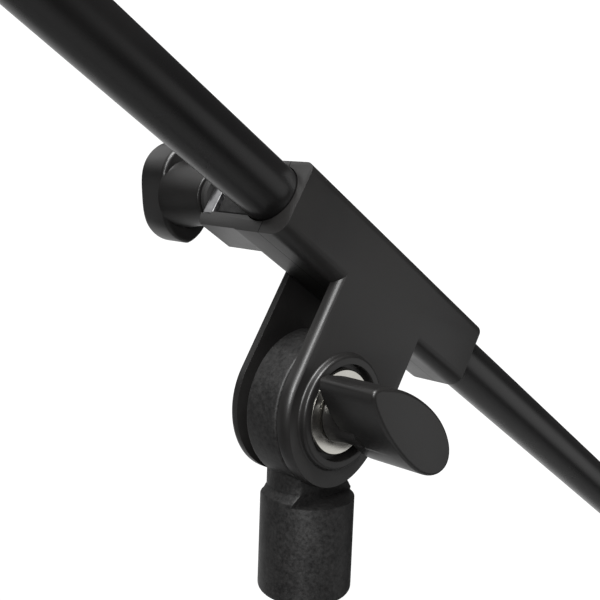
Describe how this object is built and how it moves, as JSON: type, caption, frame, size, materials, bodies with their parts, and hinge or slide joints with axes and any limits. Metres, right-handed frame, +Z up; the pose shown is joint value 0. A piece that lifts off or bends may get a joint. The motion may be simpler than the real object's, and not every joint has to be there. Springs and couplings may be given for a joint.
{
  "type": "boom microphone stand",
  "caption": "Microphone stand with folding legs, a telescopic upright, and a boom rod that slides through a clamp and tilts on a disc joint locked by a wing knob.",
  "frame": {"origin": "on the floor under the upright, at the centre of the bounding box's underside", "axes": "+Z up along the upright; the boom lies in the XZ plane and slopes down towards +X; the tilting axis is along Y, with the wing knob on the -Y side"},
  "size_m": [0.7909, 0.6234, 1.2669],
  "materials": {
    "black_plastic": "satin moulded nylon, fine mould grain",
    "grey_plastic": "matt charcoal moulding, faintly mottled",
    "powder_coat": "satin black powder coat on steel tube",
    "cast_zinc": "satin black painted casting",
    "plated_steel": "dull plated steel",
    "zinc_plate": "zinc plated steel",
    "brass": "turned brass",
    "rubber": "matt black rubber",
    "nylon": "matt moulded nylon"
  },
  "bodies": {
    "base": {"base_hub": "cast_zinc", "leg_pin_1": "zinc_plate", "leg_pin_2": "zinc_plate", "leg_pin_3": "zinc_plate", "lower_tube": "powder_coat", "tube_plug": "rubber", "clutch_body": "black_plastic"},
    "leg_1": {"leg_knuckle_1": "cast_zinc", "leg_tube_1": "powder_coat", "leg_foot_1": "rubber"},
    "leg_2": {"leg_knuckle_2": "cast_zinc", "leg_tube_2": "powder_coat", "leg_foot_2": "rubber"},
    "leg_3": {"leg_knuckle_3": "cast_zinc", "leg_tube_3": "powder_coat", "leg_foot_3": "rubber"},
    "clutch_grip": {"clutch_grip": "black_plastic"},
    "collet": {"clutch_collet": "nylon"},
    "upright": {"upper_tube": "powder_coat", "head_stud": "brass", "pivot_head": "grey_plastic"},
    "boom_clamp": {"clamp_housing": "black_plastic", "tilt_bolt": "zinc_plate", "friction_washer_near": "nylon", "friction_washer_far": "nylon", "clamp_nut_plate": "zinc_plate"},
    "knob_washer": {"knob_washer": "plated_steel"},
    "tilt_knob": {"tilt_knob": "black_plastic", "tilt_knob_insert": "brass"},
    "clamp_jaw": {"clamp_jaw": "grey_plastic"},
    "clamp_ring": {"clamp_ring": "rubber"},
    "clamp_knob": {"clamp_knob": "black_plastic", "clamp_screw": "zinc_plate"},
    "boom": {"boom_tube": "powder_coat", "boom_end_cap": "rubber", "microphone_stud": "zinc_plate", "boom_tip_collar": "black_plastic"}
  },
  "joints": [
    {"name": "leg_fold_1", "type": "hinge", "parent": "base", "child": "leg_1", "pos_m": [0.018, 0.03118, 0.135], "axis": [-0.866, 0.5, 0], "range_deg": [0, 60]},
    {"name": "leg_fold_2", "type": "hinge", "parent": "base", "child": "leg_2", "pos_m": [-0.036, 0, 0.135], "axis": [0, -1, 0], "range_deg": [0, 60]},
    {"name": "leg_fold_3", "type": "hinge", "parent": "base", "child": "leg_3", "pos_m": [0.018, -0.03118, 0.135], "axis": [0.866, 0.5, 0], "range_deg": [0, 60]},
    {"name": "clutch_turn", "type": "hinge", "parent": "base", "child": "clutch_grip", "pos_m": [0, 0, 0.62], "axis": [0, 0, 1], "range_deg": [-90, 180]},
    {"name": "upright_swivel", "type": "hinge", "parent": "base", "child": "collet", "pos_m": [0, 0, 0.62], "axis": [0, 0, 1], "continuous": true},
    {"name": "height_slide", "type": "slide", "parent": "collet", "child": "upright", "axis": [0, 0, 1], "range_m": [-0.24, 0.14]},
    {"name": "boom_tilt", "type": "hinge", "parent": "upright", "child": "boom_clamp", "pos_m": [0, 0, 0.96], "axis": [0, 1, 0], "range_deg": [-110, 50]},
    {"name": "tilt_knob_travel", "type": "slide", "parent": "boom_clamp", "child": "knob_washer", "axis": [0, -1, 0], "range_m": [0, 0.00125]},
    {"name": "tilt_knob_turn", "type": "hinge", "parent": "knob_washer", "child": "tilt_knob", "pos_m": [0, 0, 0.96], "axis": [0, -1, 0], "range_deg": [0, 365]},
    {"name": "clamp_ring_travel", "type": "slide", "parent": "boom_clamp", "child": "clamp_ring", "axis": [0, 1, 0], "range_m": [0, 0.00125]},
    {"name": "clamp_knob_turn", "type": "hinge", "parent": "clamp_ring", "child": "clamp_knob", "pos_m": [-0.01642, 0, 1.02588], "axis": [0, 1, 0], "range_deg": [0, 365]},
    {"name": "clamp_jaw_travel", "type": "slide", "parent": "boom_clamp", "child": "clamp_jaw", "axis": [0, 1, 0], "range_m": [0, 0.0013]},
    {"name": "boom_slide", "type": "slide", "parent": "boom_clamp", "child": "boom", "axis": [0.8462, 0, -0.5329], "range_m": [-0.35, 0.36]}
  ],
  "couplings": [
    {"joint": "tilt_knob_turn", "follows": "tilt_knob_travel", "rad_per_m": 5026.5},
    {"joint": "clamp_knob_turn", "follows": "clamp_ring_travel", "rad_per_m": 5026.5},
    {"joint": "clamp_jaw_travel", "follows": "clamp_ring_travel", "ratio": 1}
  ]
}
